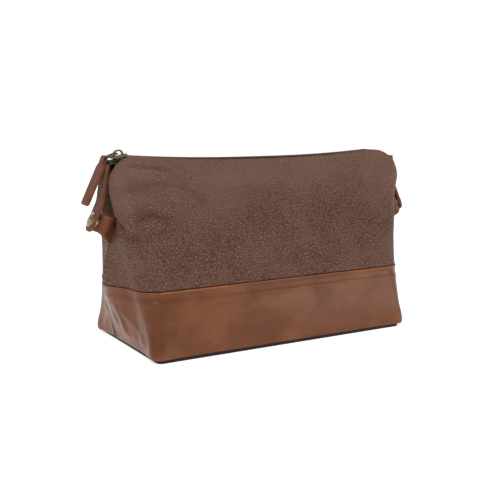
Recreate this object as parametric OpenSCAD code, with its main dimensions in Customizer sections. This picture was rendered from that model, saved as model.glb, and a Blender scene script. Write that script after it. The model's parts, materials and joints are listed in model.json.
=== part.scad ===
// Shaving kit bag: a soft boxed-corner leather bag with a top zip and snapped-down ends.
// X runs along the bag, the front faces -Y, +Z is up, and the origin is on the floor
// under the middle of the base. Sizes are in millimetres.

/* [Bag] */
// Length of the base
base_l = 250; // [220:1:300]
// Depth of the base, front to back
base_d = 128; // [106:1:154]
// Height of the leather edges beside the zip
bag_h = 163; // [150:1:196]
// How much longer the bag is near its top than at its base, over the folded corners
top_flare = 55; // [40:1:70]
// Distance between the outer faces of the two leather edges at the zip
lip_gap = 16.5; // [15.5:0.1:20]
// How far the front and back belly out halfway up
belly = 8.4; // [2:0.1:12]
// How far the closed top has slumped towards the right of the base
top_shift = 8; // [0:1:12]
// Radius of the rounded top corners, seen from the front
top_corner_r = 28; // [20:1:32]

/* [Ends] */
// How far each end bulges out low down
end_bulge = 11; // [2:0.5:14]
// Height at which the low bulge has died away
end_bulge_top = 105; // [90:1:110]
// How far each end is tucked in by its snapped strap
tuck_depth = 19; // [14:0.5:22]
// Depth below the leather edges at which the tuck begins
tuck_h = 68; // [65:1:73]

/* [Leather] */
// Thickness of the body leather
leather_t = 2; // [1.2:0.1:2.4]
// Height of the seam between the lower band and the upper panel
seam_z = 56; // [45:1:70]
// Radius of the upright corners at the base
base_corner_r = 6; // [4:0.5:12]
// Radius of the upright corners where they are softest
soft_corner_r = 22; // [14:1:24]

/* [Base] */
// Thickness of the dark leather under the base
base_t = 2.2; // [1.5:0.1:3]
// How far that leather stands in from the outside of the band
base_inset = 1.2; // [0.6:0.1:1.8]
// Thickness of the stiffening board inside
board_t = 2; // [1.5:0.1:3]
// Gap between the board and the band all round
board_gap = 4; // [2:0.5:10]

/* [Lining] */
// Thickness of the lining cloth
lining_t = 0.7; // [0.4:0.1:1]
// Width of the slip pocket on the back wall
pocket_w = 150; // [100:1:180]
// Height of the slip pocket's mouth above the floor
pocket_top = 88; // [70:1:95]
// Height of the slip pocket's foot above the floor
pocket_foot = 20; // [12:1:40]
// Height of the binding along the pocket's mouth
binding_h = 9; // [6:0.5:12]

/* [Zip] */
// Depth of the middle of the chain below the leather edges
zip_drop = 1.4; // [1:0.1:3]
// Thickness of the woven tapes
tape_t = 0.7; // [0.5:0.1:0.9]
// Distance between one tooth and the next on the same tape
tooth_pitch = 2.6; // [2.5:0.1:4]
// Length of a tooth along the zip
tooth_l = 1.15; // [0.9:0.05:1.2]
// Height of a tooth
tooth_h = 2.4; // [1.8:0.1:2.6]
// How far a tooth reaches from the middle onto its own tape
tooth_root = 3.1; // [2.6:0.1:3.3]
// How far a tooth reaches past the middle
tooth_reach = 0.9; // [0.6:0.05:1.2]
// Bend radius of the zip over the left end
left_bend_r = 60; // [50:1:90]
// Bend radius of the zip over the right end
right_bend_r = 34; // [30:1:50]

/* [Slider] */
// Length of the slider
slider_l = 14.4; // [12:0.1:17]
// Width of the slider
slider_w = 9.4; // [9:0.1:11]
// Thickness of each of the slider's plates
plate_t = 1.2; // [0.8:0.1:1.6]
// Clearance of the teeth in the slider, above and below
channel_gap = 0.55; // [0.5:0.05:0.8]
// Length of the bridge that the pull hangs from
bridge_l = 8.6; // [7:0.1:10]
// Height of the bridge above the slider
bridge_h = 4.6; // [4:0.1:6]
// Width of the bridge
bridge_w = 2.6; // [2:0.1:3.2]
// Thickness of the bridge
bridge_t = 1.2; // [0.9:0.1:1.5]

/* [Pull] */
// Diameter of the link's wire
link_wire = 1.3; // [1:0.1:1.5]
// Distance between the link's two cross bars
link_l = 10.6; // [8:0.1:12]
// Length of the leather pull below the link
pull_l = 41.9; // [30:0.1:43]
// Width of the leather pull
pull_w = 14; // [11:0.5:16]
// Width of the leather pull where it folds over the link
pull_neck_w = 5.8; // [4.5:0.1:7]
// Length of the sloping shoulders below the fold
pull_shoulder = 7; // [4:0.5:9]
// Thickness of each leather layer of the pull
pull_layer = 1.5; // [1:0.1:1.8]
// Angle from upright at which the link rests
link_rest = 70; // [60:1:80]

/* [Straps and tabs] */
// Width of the end straps
strap_w = 14; // [11:0.5:15]
// Thickness of each of a strap's two layers
strap_layer = 1.3; // [1:0.1:1.6]
// Height of the top of the strap above the floor, measured down from the leather edges
strap_drop = 6.5; // [5.5:0.5:10]
// Length of the strap from its sewn top to the bend
strap_upper_l = 31; // [25:0.5:34]
// Slope of that upper part, from upright
strap_upper_lean = 9.7; // [6:0.1:12]
// Length of the strap from the bend to its round tip
strap_end_l = 26.5; // [23:0.5:30]
// Slope of the snapped end, from upright
strap_end_lean = 25; // [20:0.5:28]
// Thickness of the side tabs
tab_t = 2.6; // [1.8:0.1:3]
// Width of a tab at the snap
tab_w = 16; // [14:0.5:18]
// Extra width of a tab where it is sewn in
tab_flare = 5.5; // [0:0.5:7]
// How far a tab's root goes into the end seam
tab_sewn = 0.9; // [0.5:0.1:1.2]

/* [Snaps] */
// Diameter of the snap cap
cap_d = 12.9; // [10:0.1:13.5]
// Height of the cap's dome
cap_h = 2.2; // [1.5:0.1:3]
// Distance of the snap from the strap's bend
snap_at = 16.5; // [15:0.5:18]
// Diameter of the socket behind the strap
socket_d = 10.4; // [8:0.1:12]
// Height of the socket
socket_h = 2.3; // [1.8:0.1:3]
// Diameter of the stud on the tab
stud_d = 6.2; // [4:0.1:7]
// Radial clearance of the stud in the socket
snap_clear = 0.08; // [0.02:0.01:0.1]
// Clearance between the strap's socket and the tab
snap_gap = 0.5; // [0.3:0.1:1]

/* [Hidden] */
$fn = 48;

// Small gap between soft layers that lie against each other
skin_gap = 0.05;
// Gap between pieces that move past each other
move_gap = 0.25;

// Columns round half of the bag: each end, each corner, and the straight side
end_cols = 5;
corner_cols = 4;
side_cols = 6;
panel_rows = 12;
band_rows = 5;
bend_cols = 12;
turn_cols = 10;

// The mouth stands open this far each side of the middle, beside the slider
mouth_y = lip_gap / 2 - leather_t - skin_gap;
// Height over which the seam opens out into the mouth
mouth_low = bag_h - 17;
mouth_high = bag_h - 11;
tuck_top = bag_h - 3;
tuck_bottom = bag_h - tuck_h;
top_l = base_l + top_flare;
// Height at which the upright corners are softest
soft_height = 70;
// How the folded corners lean out, and how the slump grows, with height
corner_power = 1.12;
slump_power = 1.5;

// Layers, measured in from the outside
tape_in = leather_t + skin_gap;
lining_in = leather_t + tape_t;
pocket_gap = 0.3;
pocket_in = lining_in + lining_t + pocket_gap;
pocket_t = lining_t;

zip_z = bag_h - zip_drop;
// The tape's edge under the teeth, and its edge over the bent ends
tape_side = 1.9;
tape_edge = mouth_y - skin_gap;
// Half of the straight run of the zip
zip_run = top_l / 2 - top_corner_r;
slider_angle = 11;
left_end_angle = 20;
// The tapes' skirts end here, above the lining and short of the zip's bends
skirt_bottom = bag_h - 13;
lining_top = skirt_bottom - 1;
skirt_run = zip_run - 5;

channel_h = tooth_h / 2 + channel_gap;
slider_top = channel_h + plate_t;
slot_h = 0.95;
flange_t = 0.8;
slider_post_d = 2.4;
slider_corner = 2.6;
// How far the flanges and the post stand in from the slider's ends
slider_in = 3;

strap_t = 2 * strap_layer;
// Room past the end of the tapes for the patch that closes them
end_room = 1.6;
strap_x = zip_run + left_bend_r * sin(left_end_angle) + end_room + strap_layer;
end_patch_t = 1.2;
end_patch_h = 9;
// Inner face of the patch that closes each end of the zip
end_patch_x = strap_x - strap_layer - skin_gap - end_patch_t;
right_end_angle = asin(min((end_patch_x - move_gap - zip_run) / right_bend_r, 0.9));
bend_x = strap_x + strap_upper_l * sin(strap_upper_lean);
bend_z = bag_h - strap_drop - strap_upper_l * cos(strap_upper_lean);

stud_r = stud_d / 2;
socket_r = stud_r + snap_clear;
// Distances in from the middle of the strap's end, along the snap's axis
tab_face = strap_layer + socket_h + snap_gap;
tab_middle = tab_face + tab_t / 2;
// Radius of the tab's turn behind the strap, and how far it stands past the strap's edges
tab_turn_r = 4;
tab_past = 2.1;

function mix(a, b, t) = a + (b - a) * t;
function clamp(x, lo, hi) = min(max(x, lo), hi);
function ease(lo, hi, x) = let (t = clamp((x - lo) / (hi - lo), 0, 1)) t * t * (3 - 2 * t);
// A smooth hump between lo and hi, 1 in the middle
function hump(lo, hi, x) = x <= lo || x >= hi ? 0 : pow(sin(180 * (x - lo) / (hi - lo)), 2);

// Half of the depth of the bag at a height
function half_d(z) = let (t = z / bag_h)
    mix(base_d / 2, lip_gap / 2, t) + belly * 4 * t * (1 - t);
// How far the rounded top corner has drawn in at a height
function corner_draw(z) = let (up = max(z - (bag_h - top_corner_r), 0))
    top_corner_r - sqrt(max(pow(top_corner_r, 2) - up * up, 0));
// Half of the length of the bag at a height, over its folded corners
function half_l(z) = mix(base_l / 2, top_l / 2, pow(z / bag_h, corner_power)) - corner_draw(z);
// How far the middle of each end stands out from its corners
function end_out(z) = end_bulge * hump(0, end_bulge_top, z) - tuck_depth * hump(tuck_bottom, tuck_top, z);
// Middle of the bag's length at a height
function slump(z) = top_shift * pow(z / bag_h, slump_power);
// Where the half shell starts, beside the middle of the end
function start_y(z) = mouth_y * ease(mouth_low, mouth_high, z);

// Radius of the upright corner at a height, where the half depth is b
function corner_round(z, b) =
    min(mix(base_corner_r, soft_corner_r, ease(0, soft_height, z)), (b - min(start_y(z), b - skin_gap)) / 2);

// Points round the left end and corner of the front half, at a height and a depth in from outside
function end_points(z, inset) = let (
        a = half_l(z) - inset,
        b = half_d(z) - inset,
        y0 = min(start_y(z), b - skin_gap),
        r = corner_round(z, b),
        out = end_out(z))
    concat(
        [for (i = [0 : end_cols - 1]) let (v = i / end_cols)
            [-(a + out * (cos(180 * v) + 1) / 2), -mix(y0, b - r, v)]],
        [for (i = [0 : corner_cols - 1]) let (t = 90 * i / corner_cols)
            [-(a - r + r * cos(t)), -(b - r + r * sin(t))]]);

// The front half of the bag at one height, from the left seam round to the right seam
function half_ring(z, inset) = let (
        left = end_points(z, inset),
        b = half_d(z) - inset,
        run = half_l(z) - inset - corner_round(z, b),
        last = len(left) - 1)
    [for (p = concat(
            left,
            [for (i = [0 : side_cols]) [mix(-run, run, i / side_cols), -b]],
            [for (i = [last : -1 : 0]) [-left[i][0], left[i][1]]]))
        [p[0] + slump(z), p[1], z]];

// A flat run of the front half, for a pocket
function side_row(z, inset, w, cols) =
    [for (i = [0 : cols]) [mix(-w / 2, w / 2, i / cols) + slump(z), inset - half_d(z), z]];

function levels(lo, hi, count) = [for (i = [0 : count]) mix(lo, hi, i / count)];
// The same levels serve every skin, so that one lies evenly inside another
shell_levels = concat(levels(base_t, seam_z - (seam_z - base_t) / band_rows, band_rows - 1),
    levels(seam_z, bag_h, panel_rows));
function between(lo, hi) = concat([lo], [for (z = shell_levels) if (z > lo && z < hi) z], [hi]);

// A closed skin between two grids of points of the same size
module skin(outer, inner) {
    rows = len(outer);
    cols = len(outer[0]);
    n = rows * cols;
    points = concat([for (row = outer) each row], [for (row = inner) each row]);
    edge = concat(
        [for (j = [0 : cols - 1]) j],
        [for (i = [1 : rows - 1]) i * cols + cols - 1],
        [for (j = [cols - 2 : -1 : 0]) (rows - 1) * cols + j],
        [for (i = [rows - 2 : -1 : 1]) i * cols]);
    polyhedron(points, concat(
        [for (i = [0 : rows - 2], j = [0 : cols - 2]) let (a = i * cols + j)
            each [[a, a + cols + 1, a + 1], [a, a + cols, a + cols + 1]]],
        [for (i = [0 : rows - 2], j = [0 : cols - 2]) let (a = n + i * cols + j)
            each [[a, a + 1, a + cols + 1], [a, a + cols + 1, a + cols]]],
        [for (k = [0 : len(edge) - 1]) let (a = edge[k], b = edge[(k + 1) % len(edge)])
            each [[a, b, b + n], [a, b + n, a + n]]]), convexity = 6);
}

module half_skin(lo, hi, inset, t) {
    skin([for (z = between(lo, hi)) half_ring(z, inset)],
         [for (z = between(lo, hi)) half_ring(z, inset + t)]);
}

module front_upper_panel() {
    color("#6b4a3f") half_skin(seam_z, bag_h, 0, leather_t);
}

module back_upper_panel() {
    color("#6b4a3f") mirror([0, 1, 0]) half_skin(seam_z, bag_h, 0, leather_t);
}

module front_lower_band() {
    color("#8a4f2b") half_skin(base_t, seam_z, 0, leather_t);
}

module back_lower_band() {
    color("#8a4f2b") mirror([0, 1, 0]) half_skin(base_t, seam_z, 0, leather_t);
}

module front_lining() {
    color("#3a332e") half_skin(base_t + board_t + lining_t, lining_top, lining_in, lining_t);
}

module back_lining() {
    color("#3a332e") mirror([0, 1, 0])
        half_skin(base_t + board_t + lining_t, lining_top, lining_in, lining_t);
}

// A flat plate the shape of the base, drawn in all round
module base_plate(inset, lo, t) {
    l = base_l - 2 * inset;
    d = base_d - 2 * inset;
    r = max(base_corner_r - inset, 1);
    translate([0, 0, lo]) linear_extrude(t) union() {
        square([l - 2 * r, d], center = true);
        square([l, d - 2 * r], center = true);
        for (x = [-1, 1], y = [-1, 1]) translate([x * (l / 2 - r), y * (d / 2 - r)]) circle(r);
    }
}

module base_panel() {
    color("#3b2620") base_plate(base_inset, 0, base_t);
}

module base_board() {
    color("#8b8478") base_plate(board_gap, base_t, board_t);
}

module base_lining() {
    color("#3a332e") base_plate(board_gap, base_t + board_t, lining_t);
}

module pocket_skin(lo, hi, inset) {
    mirror([0, 1, 0]) skin(
        [for (z = between(lo, hi)) side_row(z, inset, pocket_w, side_cols)],
        [for (z = between(lo, hi)) side_row(z, inset + pocket_t, pocket_w, side_cols)]);
}

module slip_pocket() {
    color("#463d37") pocket_skin(pocket_foot, pocket_top, pocket_in);
}

module pocket_binding() {
    color("#6b4a3f") pocket_skin(pocket_top - binding_h, pocket_top, pocket_in + pocket_t + pocket_gap);
}

// Puts its children on the zip: along is the distance from the middle of the straight run
module on_zip(along) {
    bend_r = along < 0 ? left_bend_r : right_bend_r;
    past = max(abs(along) - zip_run, 0);
    turn = sign(along) * past / bend_r * 180 / PI;
    translate([top_shift + sign(along) * min(abs(along), zip_run), 0, zip_z - bend_r])
        rotate([0, turn, 0]) translate([0, 0, bend_r]) children();
}

// A point on the middle of the zip's ribbon, seen from the front, t off its middle
function zip_point(side, bend_r, angle, t) =
    [top_shift + side * (zip_run + (bend_r + t) * sin(angle)), zip_z - bend_r + (bend_r + t) * cos(angle)];

// One edge of the ribbon from the left end to the right end
function zip_edge(t) = concat(
    [for (i = [0 : bend_cols]) zip_point(-1, left_bend_r, left_end_angle * (1 - i / bend_cols), t)],
    [for (i = [0 : bend_cols]) zip_point(1, right_bend_r, right_end_angle * i / bend_cols, t)]);

// The front tape: a ribbon beside the teeth, and a skirt down behind the leather
module zip_tape() {
    edge_y = half_d(zip_z + tape_t / 2) - tape_in - skin_gap;
    foot_y = half_d(skirt_bottom) - tape_in - skin_gap;
    low = zip_edge(-tape_t / 2);
    translate([0, -tape_side, 0]) rotate([90, 0, 0]) linear_extrude(tape_edge - tape_side)
        polygon(concat(zip_edge(tape_t / 2), [for (i = [len(low) - 1 : -1 : 0]) low[i]]));
    translate([top_shift - skirt_run, 0, 0]) rotate([90, 0, 90]) linear_extrude(2 * skirt_run)
        polygon([
            [-tape_side - tape_t, zip_z - tape_t / 2], [-tape_side - tape_t, zip_z + tape_t / 2],
            [-edge_y, zip_z + tape_t / 2], [-foot_y, skirt_bottom],
            [-foot_y + tape_t, skirt_bottom], [-edge_y + tape_t, zip_z - tape_t / 2]
        ]);
}

module zip_tape_front() {
    color("#1c1a19") zip_tape();
}

module zip_tape_back() {
    color("#1c1a19") mirror([0, 1, 0]) zip_tape();
}

right_arc = right_bend_r * right_end_angle * PI / 180;
slider_along = -(zip_run + left_bend_r * slider_angle * PI / 180);
// Room for half a tooth at the slider, and for the stops at the right end
first_room = 1;
last_room = 4.5;
teeth_from = slider_along + first_room;
teeth_to = zip_run + right_arc - last_room;
tooth_count = floor((teeth_to - teeth_from) / tooth_pitch);

// A metal clasp on the edge of the front tape, from the tape to reach past the middle
module clasp(l, reach) {
    translate([-l / 2, -tooth_root, -tooth_h / 2]) difference() {
        cube([l, tooth_root + reach, tooth_h]);
        translate([-l, -tooth_root, (tooth_h - tape_t) / 2 - skin_gap])
            cube([3 * l, 2 * tooth_root - tape_side + skin_gap, tape_t + 2 * skin_gap]);
    }
}

// One row of teeth on the front tape
module tooth_row(first) {
    for (i = [0 : tooth_count - 1]) on_zip(teeth_from + first + i * tooth_pitch)
        clasp(tooth_l, tooth_reach);
}

module zip_teeth_front() {
    color("#7d6a45") tooth_row(tooth_pitch / 4);
}

module zip_teeth_back() {
    color("#7d6a45") mirror([0, 1, 0]) tooth_row(tooth_pitch * 3 / 4);
}

stop_l = 1.6;
module zip_top_stops() {
    color("#7d6a45") for (side = [0, 1]) mirror([0, side, 0])
        on_zip(slider_along - slider_l / 2 - stop_l / 2 - skin_gap) clasp(stop_l, -tooth_reach);
}

module zip_bottom_stop() {
    color("#7d6a45") for (side = [0, 1]) mirror([0, side, 0])
        on_zip(teeth_to + stop_l + skin_gap) clasp(stop_l, 0);
}

// The upright patch that closes the zip and holds the strap's top
module zip_end() {
    translate([-end_patch_x - end_patch_t, -mouth_y + move_gap, bag_h - strap_drop - end_patch_h])
        cube([end_patch_t, 2 * (mouth_y - move_gap), end_patch_h]);
}

// Places a left-hand piece from the middle of the closed top
module at_left() {
    translate([top_shift, 0, 0]) children();
}

// Mirrors a whole left-hand piece about the middle of the closed top
module swap_ends() {
    translate([2 * top_shift, 0, 0]) mirror([1, 0, 0]) children();
}

module left_zip_end() {
    color("#1c1a19") at_left() zip_end();
}

module right_zip_end() {
    color("#1c1a19") swap_ends() at_left() zip_end();
}

// A flat outline rounded at both ends, along X
module oblong(l, w, r) {
    for (x = [-1, 1], y = [-1, 1]) translate([x * (l / 2 - r), y * (w / 2 - r)]) circle(r);
    square([l - 2 * r, w], center = true);
    square([l, w - 2 * r], center = true);
}

module slider_body() {
    color("#8a744a") on_zip(slider_along) union() {
        for (z = [channel_h, -slider_top]) translate([0, 0, z])
            linear_extrude(plate_t) oblong(slider_l, slider_w, slider_corner);
        for (y = [-1, 1], z = [-1, 1])
            translate([0, y * (slider_w - flange_t) / 2, z * (channel_h + slot_h) / 2])
                cube([slider_l - 2 * slider_in, flange_t, channel_h - slot_h], center = true);
        translate([slider_in - slider_l / 2, 0, -channel_h])
            cylinder(d = slider_post_d, h = 2 * channel_h);
    }
}

// The hole under the bridge, and the link's axis high in its left corner
bridge_hole = bridge_h - bridge_t;
bridge_round = 0.8;
hole_r = min(bridge_hole, bridge_l / 2 - bridge_t) * bridge_round;
link_clear = 0.15;
link_out = (hole_r - link_wire / 2 - link_clear) * cos(45);
link_at = [hole_r + bridge_t - bridge_l / 2 - link_out, slider_top + bridge_hole - hole_r + link_out];

// The link's lower bar at rest, from the middle of the closed top
fold_at = [-zip_run + link_at[0] * cos(slider_angle) - (left_bend_r + link_at[1]) * sin(slider_angle)
        - link_l * sin(link_rest),
    zip_z - left_bend_r + link_at[0] * sin(slider_angle) + (left_bend_r + link_at[1]) * cos(slider_angle)
        - link_l * cos(link_rest)];
// The strap's upper outer edge seen from there, which the pull rests just clear of
strap_edge = [strap_upper_l * sin(strap_upper_lean) - bend_x - strap_layer * cos(strap_upper_lean),
    bend_z + strap_upper_l * cos(strap_upper_lean) + strap_layer * sin(strap_upper_lean)] - fold_at;
pull_rest = atan2(-strap_edge[1], strap_edge[0]) - acos((pull_layer + skin_gap) / norm(strap_edge));

module slider_bridge() {
    color("#8a744a") on_zip(slider_along)
        translate([0, bridge_w / 2, slider_top]) rotate([90, 0, 0]) linear_extrude(bridge_w)
            difference() {
                bridge_outline(bridge_l, bridge_h);
                bridge_outline(bridge_l - 2 * bridge_t, bridge_hole);
            }
}

// A low arch standing on the X axis
module bridge_outline(l, h) {
    r = min(h, l / 2) * bridge_round;
    intersection() {
        union() {
            translate([-l / 2, 0]) square([l, h - r]);
            translate([r - l / 2, 0]) square([l - 2 * r, h]);
            for (x = [-1, 1]) translate([x * (l / 2 - r), h - r]) circle(r);
        }
        translate([-l / 2, 0]) square([l, h]);
    }
}

// Places a child at the link's axis with its own -Z along the link, then along the pull
module at_link(angle) {
    on_zip(slider_along) translate([link_at[0], 0, link_at[1]])
        rotate([0, angle + slider_angle, 0]) children();
}

link_w = pull_neck_w + link_wire + 2 * move_gap;
module pull_link() {
    color("#8a744a") at_link(link_rest) {
        for (z = [0, -link_l]) translate([0, link_w / 2, z]) rotate([90, 0, 0])
            cylinder(d = link_wire, h = link_w);
        for (y = [-1, 1]) translate([0, y * link_w / 2, -link_l]) cylinder(d = link_wire, h = link_l);
        for (y = [-1, 1], z = [0, -link_l]) translate([0, y * link_w / 2, z]) sphere(d = link_wire);
    }
}

// Clearance of the link in the pull's fold
fold_clear = 0.08;
fold_hole_r = link_wire / 2 + fold_clear;
fold_r = fold_hole_r + pull_layer;

// The face of the folded pull: narrow at the fold, shoulders, straight sides, clipped foot
module pull_outline() {
    foot = 2.2;
    polygon([
        [-pull_neck_w / 2, fold_r], [pull_neck_w / 2, fold_r],
        [pull_neck_w / 2, -fold_r], [pull_w / 2, -fold_r - pull_shoulder],
        [pull_w / 2, foot - pull_l], [pull_w / 2 - foot, -pull_l],
        [foot - pull_w / 2, -pull_l], [-pull_w / 2, foot - pull_l],
        [-pull_w / 2, -fold_r - pull_shoulder], [-pull_neck_w / 2, -fold_r]
    ]);
}

module pull_leather() {
    color("#83503a") at_link(link_rest) translate([0, 0, -link_l])
        rotate([0, pull_rest - link_rest, 0]) intersection() {
            rotate([90, 0, 0]) linear_extrude(2 * pull_w, center = true) difference() {
                union() {
                    circle(fold_r);
                    translate([-pull_layer, -pull_l]) square([2 * pull_layer, pull_l]);
                }
                circle(fold_hole_r);
            }
            rotate([90, 0, 90]) linear_extrude(4 * fold_r, center = true) pull_outline();
        }
}

// One layer of the strap's sewn upper part; out is 1 for the face and 0 for the backing
module strap_upper(out) {
    at_left() translate([-bend_x, 0, bend_z]) rotate([0, strap_upper_lean, 0])
        translate([-out * strap_layer, -strap_w / 2, strap_layer + move_gap])
            cube([strap_layer, strap_w, strap_upper_l - strap_layer - move_gap]);
}

// Moves a child to the strap's bend, with -Z down the snapped end and -X outwards
module at_bend() {
    at_left() translate([-bend_x, 0, bend_z]) rotate([0, strap_end_lean, 0]) children();
}

// Moves a child to the snap's axis, with +Z outwards
module at_snap() {
    at_bend() translate([0, 0, -snap_at]) rotate([0, -90, 0]) children();
}

// One layer of the snapped end, with a round tip and a rounded top at the bend
module strap_end(out) {
    difference() {
        at_bend() intersection() {
            translate([-out * strap_layer, 0, 0]) union() {
                translate([0, -strap_w / 2, -strap_end_l]) cube([strap_layer, strap_w, strap_end_l]);
                translate([out * strap_layer, strap_w / 2, 0]) rotate([90, 0, 0])
                    cylinder(r = strap_layer, h = strap_w);
            }
            translate([-out * strap_layer, -strap_w, -2 * strap_end_l])
                cube([strap_layer, 2 * strap_w, 3 * strap_end_l]);
            translate([-strap_t, 0, 0]) rotate([90, 0, 90]) linear_extrude(2 * strap_t) union() {
                translate([0, -strap_end_l + strap_w / 2]) circle(strap_w / 2);
                translate([-strap_w / 2, -strap_end_l + strap_w / 2])
                    square([strap_w, strap_end_l]);
            }
        }
        at_snap() translate([0, 0, -strap_t]) cylinder(r = snap_shank_r + skin_gap, h = 2 * strap_t);
    }
}

snap_shank_r = 1.6;
cap_rim = 0.7;

// The domed cap and its shank through the strap
module snap_cap() {
    dome_r = (pow(cap_d / 2, 2) + pow(cap_h - cap_rim, 2)) / (2 * (cap_h - cap_rim));
    at_snap() translate([0, 0, strap_layer]) union() {
        cylinder(d = cap_d, h = cap_rim);
        intersection() {
            translate([0, 0, cap_h - dome_r]) sphere(dome_r, $fn = 96);
            cylinder(d = cap_d, h = cap_h + 1);
        }
        translate([0, 0, -strap_t]) cylinder(r = snap_shank_r, h = strap_t);
    }
}

module snap_socket() {
    floor_t = 0.4;
    at_snap() translate([0, 0, -strap_layer - socket_h]) difference() {
        cylinder(d = socket_d, h = socket_h);
        translate([0, 0, -1]) cylinder(r = socket_r, h = socket_h - floor_t + 1);
    }
}

// How far the stud's flange and the post behind the tab stand in from the socket's edge
flange_in = 0.5;
post_in = 0.7;
stud_flange_h = 0.3;
// The stud stops short of the socket's floor, and narrows so that it tips out as the strap lifts
stud_short = 0.7;
stud_taper = 0.5;
module snap_stud() {
    head = socket_h + snap_gap - stud_short;
    at_snap() translate([0, 0, -tab_face]) union() {
        cylinder(d = socket_d - 2 * flange_in, h = stud_flange_h);
        cylinder(r1 = stud_r, r2 = stud_r - stud_taper, h = head);
        translate([0, 0, -tab_t]) cylinder(r = snap_shank_r, h = tab_t);
    }
}

post_t = 0.8;
post_floor = 0.2;
module snap_post() {
    at_snap() translate([0, 0, -tab_face - tab_t - post_t]) difference() {
        cylinder(d = socket_d - 2 * post_in, h = post_t);
        translate([0, 0, post_floor]) cylinder(r = snap_shank_r, h = post_t);
    }
}

// Distance of an end's seam from the middle of the closed top: side is -1 left or 1 right
function end_wall(z, side) = half_l(z) + end_out(z) + side * (slump(z) - top_shift);
// The tab's root is this far below its snap
tab_fall = 9;
function tab_reach(side) = (bend_x + snap_at * sin(strap_end_lean) + tab_sewn
    - end_wall(bend_z - snap_at * cos(strap_end_lean) - tab_fall, side)) / cos(strap_end_lean) - tab_middle;

// One side of the tab seen from above, off its middle line: a flat run, a turn, the run to the root
function tab_side(turn, lean, run, off) = concat(
    [[turn[0] - tab_turn_r - off, strap_w / 2 + tab_past]],
    [for (i = [0 : turn_cols]) let (a = (90 + lean) * i / turn_cols)
        turn - (tab_turn_r + off) * [cos(a), sin(a)]],
    [turn + (tab_turn_r + off) * [sin(lean), -cos(lean)] + run * [cos(lean), sin(lean)]]);

module tab_path(reach) {
    front_y = -strap_w / 2 - tab_past;
    turn = [tab_middle + tab_turn_r, front_y + tab_turn_r];
    span = tab_middle + reach - turn[0];
    lean = atan2(-tab_t / 2 - front_y, span);
    inner = tab_side(turn, lean, span / cos(lean), -tab_t / 2);
    polygon(concat(tab_side(turn, lean, span / cos(lean), tab_t / 2),
        [for (i = [len(inner) - 1 : -1 : 0]) inner[i]]));
}

module tab(reach) {
    root_x = tab_middle + reach;
    foot = -snap_at - tab_w / 2;
    head = foot + tab_w;
    difference() {
        at_bend() intersection() {
            translate([0, 0, foot - tab_flare]) linear_extrude(tab_w + tab_flare) tab_path(reach);
            rotate([90, 0, 0]) linear_extrude(4 * strap_w, center = true) polygon([
                [0, head], [0, foot], [tab_middle, foot], [root_x, foot - tab_flare], [root_x, head]
            ]);
        }
        at_snap() translate([0, 0, -tab_face - tab_t - 1])
            cylinder(r = snap_shank_r + skin_gap, h = tab_t + 2);
    }
}

module left_strap_face() { color("#83503a") strap_upper(1); }
module left_strap_backing() { color("#7a4a35") strap_upper(0); }
module left_strap_end_face() { color("#83503a") strap_end(1); }
module left_strap_end_backing() { color("#7a4a35") strap_end(0); }
module left_snap_cap() { color("#b39a63") snap_cap(); }
module left_snap_socket() { color("#b39a63") snap_socket(); }
module left_snap_stud() { color("#b39a63") snap_stud(); }
module left_snap_post() { color("#b39a63") snap_post(); }
module left_tab() { color("#8a4f2b") tab(tab_reach(-1)); }

module right_strap_face() { color("#83503a") swap_ends() strap_upper(1); }
module right_strap_backing() { color("#7a4a35") swap_ends() strap_upper(0); }
module right_strap_end_face() { color("#83503a") swap_ends() strap_end(1); }
module right_strap_end_backing() { color("#7a4a35") swap_ends() strap_end(0); }
module right_snap_cap() { color("#b39a63") swap_ends() snap_cap(); }
module right_snap_socket() { color("#b39a63") swap_ends() snap_socket(); }
module right_snap_stud() { color("#b39a63") swap_ends() snap_stud(); }
module right_snap_post() { color("#b39a63") swap_ends() snap_post(); }
module right_tab() { color("#8a4f2b") swap_ends() tab(tab_reach(1)); }

front_upper_panel();
back_upper_panel();
front_lower_band();
back_lower_band();
base_panel();
base_board();
front_lining();
back_lining();
base_lining();
slip_pocket();
pocket_binding();
zip_tape_front();
zip_tape_back();
zip_teeth_front();
zip_teeth_back();
zip_top_stops();
zip_bottom_stop();
left_zip_end();
right_zip_end();
slider_body();
slider_bridge();
pull_link();
pull_leather();
left_strap_face();
left_strap_backing();
left_strap_end_face();
left_strap_end_backing();
left_snap_cap();
left_snap_socket();
left_snap_stud();
left_snap_post();
left_tab();
right_strap_face();
right_strap_backing();
right_strap_end_face();
right_strap_end_backing();
right_snap_cap();
right_snap_socket();
right_snap_stud();
right_snap_post();
right_tab();
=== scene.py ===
"""Shaving kit bag: leather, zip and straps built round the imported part."""

import json
import math

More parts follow.
